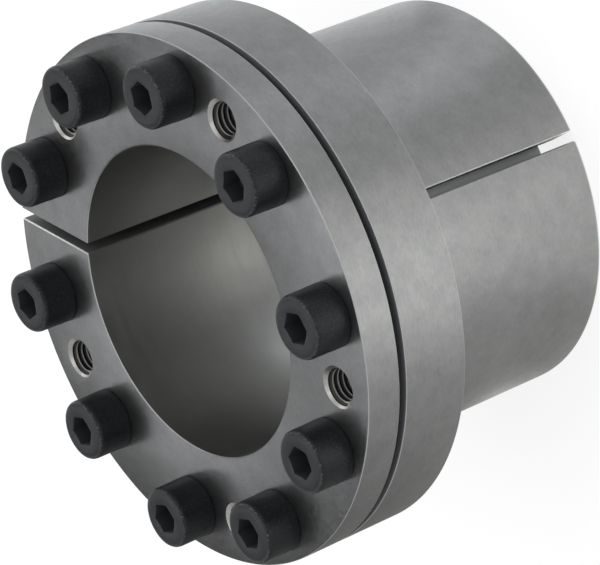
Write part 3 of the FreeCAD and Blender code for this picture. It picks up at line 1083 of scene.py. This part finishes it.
# %% [markdown]
# ## The floor
#
# The photograph has a plain white background. The floor is a diffuse white with light of its
# own, so that it comes out white and keeps a faint soft shadow of the assembly. From below it
# is clear, so that the underside can be looked at. To the light that goes on from it, it is a
# plain light grey, so that the steel isn't lit too strongly from below.

# %% Floor
FLOOR_REACH = 6.0
OWN_LIGHT = 0.8
SEEN_BASE = 0.27
LIGHT_BASE = 0.7


def ray_is(tree, kind):
    """1 for rays of this kind, and 0 for others."""
    return Number(tree, tree.nodes.new("ShaderNodeLightPath").outputs["Is %s Ray" % kind])


def seen_directly(tree):
    """1 where the camera sees a surface itself, or in a reflection or through glass."""
    straight = ray_is(tree, "Camera")
    return (straight + ray_is(tree, "Glossy") + ray_is(tree, "Transmission")).between(0, 1)


floor_material, tree, shader = new_material("floor")
seen = seen_directly(tree)
feed(tree, shader, {
    "Base Color": ramp(tree, seen, LIGHT_BASE, SEEN_BASE),
    "Roughness": 1.0,
    "Specular IOR Level": 0.0,
    "Emission Color": (1.0, 1.0, 1.0, 1.0),
    "Emission Strength": ramp(tree, seen, 0.0, OWN_LIGHT),
})

floor_mesh = bpy.data.meshes.new("floor")
corners = [(x * FLOOR_REACH, y * FLOOR_REACH, 0) for x, y in ((-1, -1), (1, -1), (1, 1), (-1, 1))]
floor_mesh.from_pydata(corners, [], [(0, 1, 2, 3)])
floor_mesh.materials.append(floor_material)
add_object("floor", floor_mesh)
print("floor made")

# %% [markdown]
# ## What the steel mirrors in the floor
#
# Bare steel shows little but what it mirrors. A photographer puts up large white and dark cards
# for it, and they show as the soft light and dark stripes along the rims, the sleeve and the
# bore. Area lamps in their place would leave hard edges on the steel, so the floor itself plays
# the cards: only mirrored rays see them. A wall mirrors the floor in front of it, so an area is
# a stretch of turn around the assembly, in degrees, and sometimes of distance from its axis.
# What lies under the bore is seen by the bore alone.

# %% Bright and dark areas on the floor
x, y, _ = parts(tree, coordinates(tree, "Object"))
turn = y.to("ARCTAN2", x) * math.degrees(1)
away = (x * x + y * y).to("SQRT")


def soft(value, start, end):
    """Rises softly from 0 where the value is at its start to 1 at its end."""
    limits = {"Value": value, "From Min": start, "From Max": end}
    node = add_node(value.tree, "ShaderNodeMapRange", limits, interpolation_type="SMOOTHSTEP")
    return Number(value.tree, node.outputs["Result"])


def stretch(start, full, fading, end):
    """A stretch of turn: it comes in from start to full, and goes from fading to end."""
    return soft(turn, start, full) * soft(turn, end, fading)


EVEN_AROUND = 1.15
EVEN_UNDER_BORE = 0.7
near = soft(away, 0.068, 0.046)
far = soft(away, 0.065, 0.115)
warm = stretch(-24, 10, 18, 58) * (far * 0.45 + 0.8)
dark = stretch(-160, -118, -98, -5) * (far * 0.1 + 0.75)
narrow = stretch(64, 79, 86, 104) * (far * -0.22 + 0.47)
foot = stretch(-60, -45, 8, 28) + stretch(68, 82, 98, 112)
around = warm - dark + narrow + EVEN_AROUND + near * (soft(turn, -58, -72) * 0.45 - foot * 0.25)

first = stretch(-45, -5, 0, 35) * 0.35
second = stretch(114, 131, 137, 156) * 1.15
between = stretch(40, 70, 92, 112) * 0.36 + soft(turn, -38, -75) * 0.4
under_bore = (first + second - between) * soft(away, 0.003, 0.012) + EVEN_UNDER_BORE
inside = away.to("LESS_THAN", BORE_R)
glow = inside * under_bore + (-inside + 1.0) * around
print("areas made around the assembly and under its bore")

# %% Showing the areas to mirrored rays alone
WARM_WHITE = (1.0, 1.0, 0.965)
COOL_WHITE = (0.97, 0.99, 1.0)


def mix_shaders(factor, first, second):
    """Shows the first shader where the factor is 0, and the second where it is 1."""
    node = add_node(tree, "ShaderNodeMixShader", {"Fac": factor, 1: first, 2: second})
    return node.outputs["Shader"]


tint = mix_colours(tree, soft(turn, 40, 90), WARM_WHITE, COOL_WHITE)
cards = add_node(tree, "ShaderNodeEmission", {"Color": tint, "Strength": glow})
from_above = mix_shaders(ray_is(tree, "Glossy"), shader.outputs[0], cards.outputs[0])
behind = tree.nodes.new("ShaderNodeNewGeometry")
clear = tree.nodes.new("ShaderNodeBsdfTransparent")
surface = mix_shaders(behind.outputs["Backfacing"], from_above, clear.outputs[0])
feed(tree, tree.nodes["Material Output"], {"Surface": surface})
print("floor finished")

# %% [markdown]
# ## The room and its lamps
#
# The room is white for the camera and dimmer as a light. The flange's face and the screws' end
# faces mirror the part of the room that lies over against the camera. In the photograph the
# upper left of the face is dark, then comes a bright band, then a fall to the lower edge, so
# mirrored rays see these three areas, measured down and across the picture. Everywhere else
# the room is even, so that the steel looks right from other sides too. Two area lamps add the
# little light that has a direction.

# %% Room
ROOM_LIGHT = 0.65
BRIGHT_BAND = 2.78
UPPER_FALL = 2.74
LOWER_FALL = 2.72
EVEN_ROOM = 1.28
world = bpy.data.worlds.new("room")
bpy.context.scene.world = world
world.use_nodes = True
tree = world.node_tree
direction = coordinates(tree, "Generated")


def along_way(way):
    """How far a direction of the room goes along a given one."""
    node = add_node(tree, "ShaderNodeVectorMath", {0: direction, 1: way}, operation="DOT_PRODUCT")
    return Number(tree, node.outputs["Value"])


low = along_way(Vector((-up.x, -up.y, up.z)))
aside = along_way(Vector((right.x, right.y, -right.z)))
upper_dark = soft(low, -0.047, -0.07) * soft(aside, 0.193, 0.041)
over_against = upper_dark * -UPPER_FALL - soft(low, -0.042, 0.052) * LOWER_FALL + BRIGHT_BAND
ahead = soft(along_way(Vector((-back.x, -back.y, back.z))), 0.8, 0.95)
mirrored_room = over_against * ahead + (-ahead + 1.0) * EVEN_ROOM

seen = Number(tree, ramp(tree, seen_directly(tree), ROOM_LIGHT, 1.0))
strength = seen + (mirrored_room - 1.0) * ray_is(tree, "Glossy")
feed(tree, tree.nodes["Background"], {"Color": (1.0, 1.0, 1.0, 1.0), "Strength": strength})
print("room made")

# %% Lamps
LAMP_AIM = Vector((0, 0, 0.03))


def add_lamp(name, turn, rise, away, size, watts):
    """A square area lamp at this turn and height angle, looking at the assembly."""
    lamp = add_object(name, bpy.data.lights.new(name, "AREA"))
    turn = math.radians(turn)
    rise = math.radians(rise)
    offset = Vector((math.cos(turn) * math.cos(rise), math.sin(turn) * math.cos(rise), math.sin(rise)))
    lamp.location = LAMP_AIM + offset * away
    lamp.rotation_euler = offset.to_track_quat("Z", "Y").to_euler()
    lamp.data.shape = "SQUARE"
    lamp.data.size = size
    lamp.data.energy = watts


add_lamp("soft_key", 60, 66, 1.6, 1.0, 6.3)
add_lamp("edge_light", 150, 20, 1.2, 0.6, 3.4)
print("lamps made")
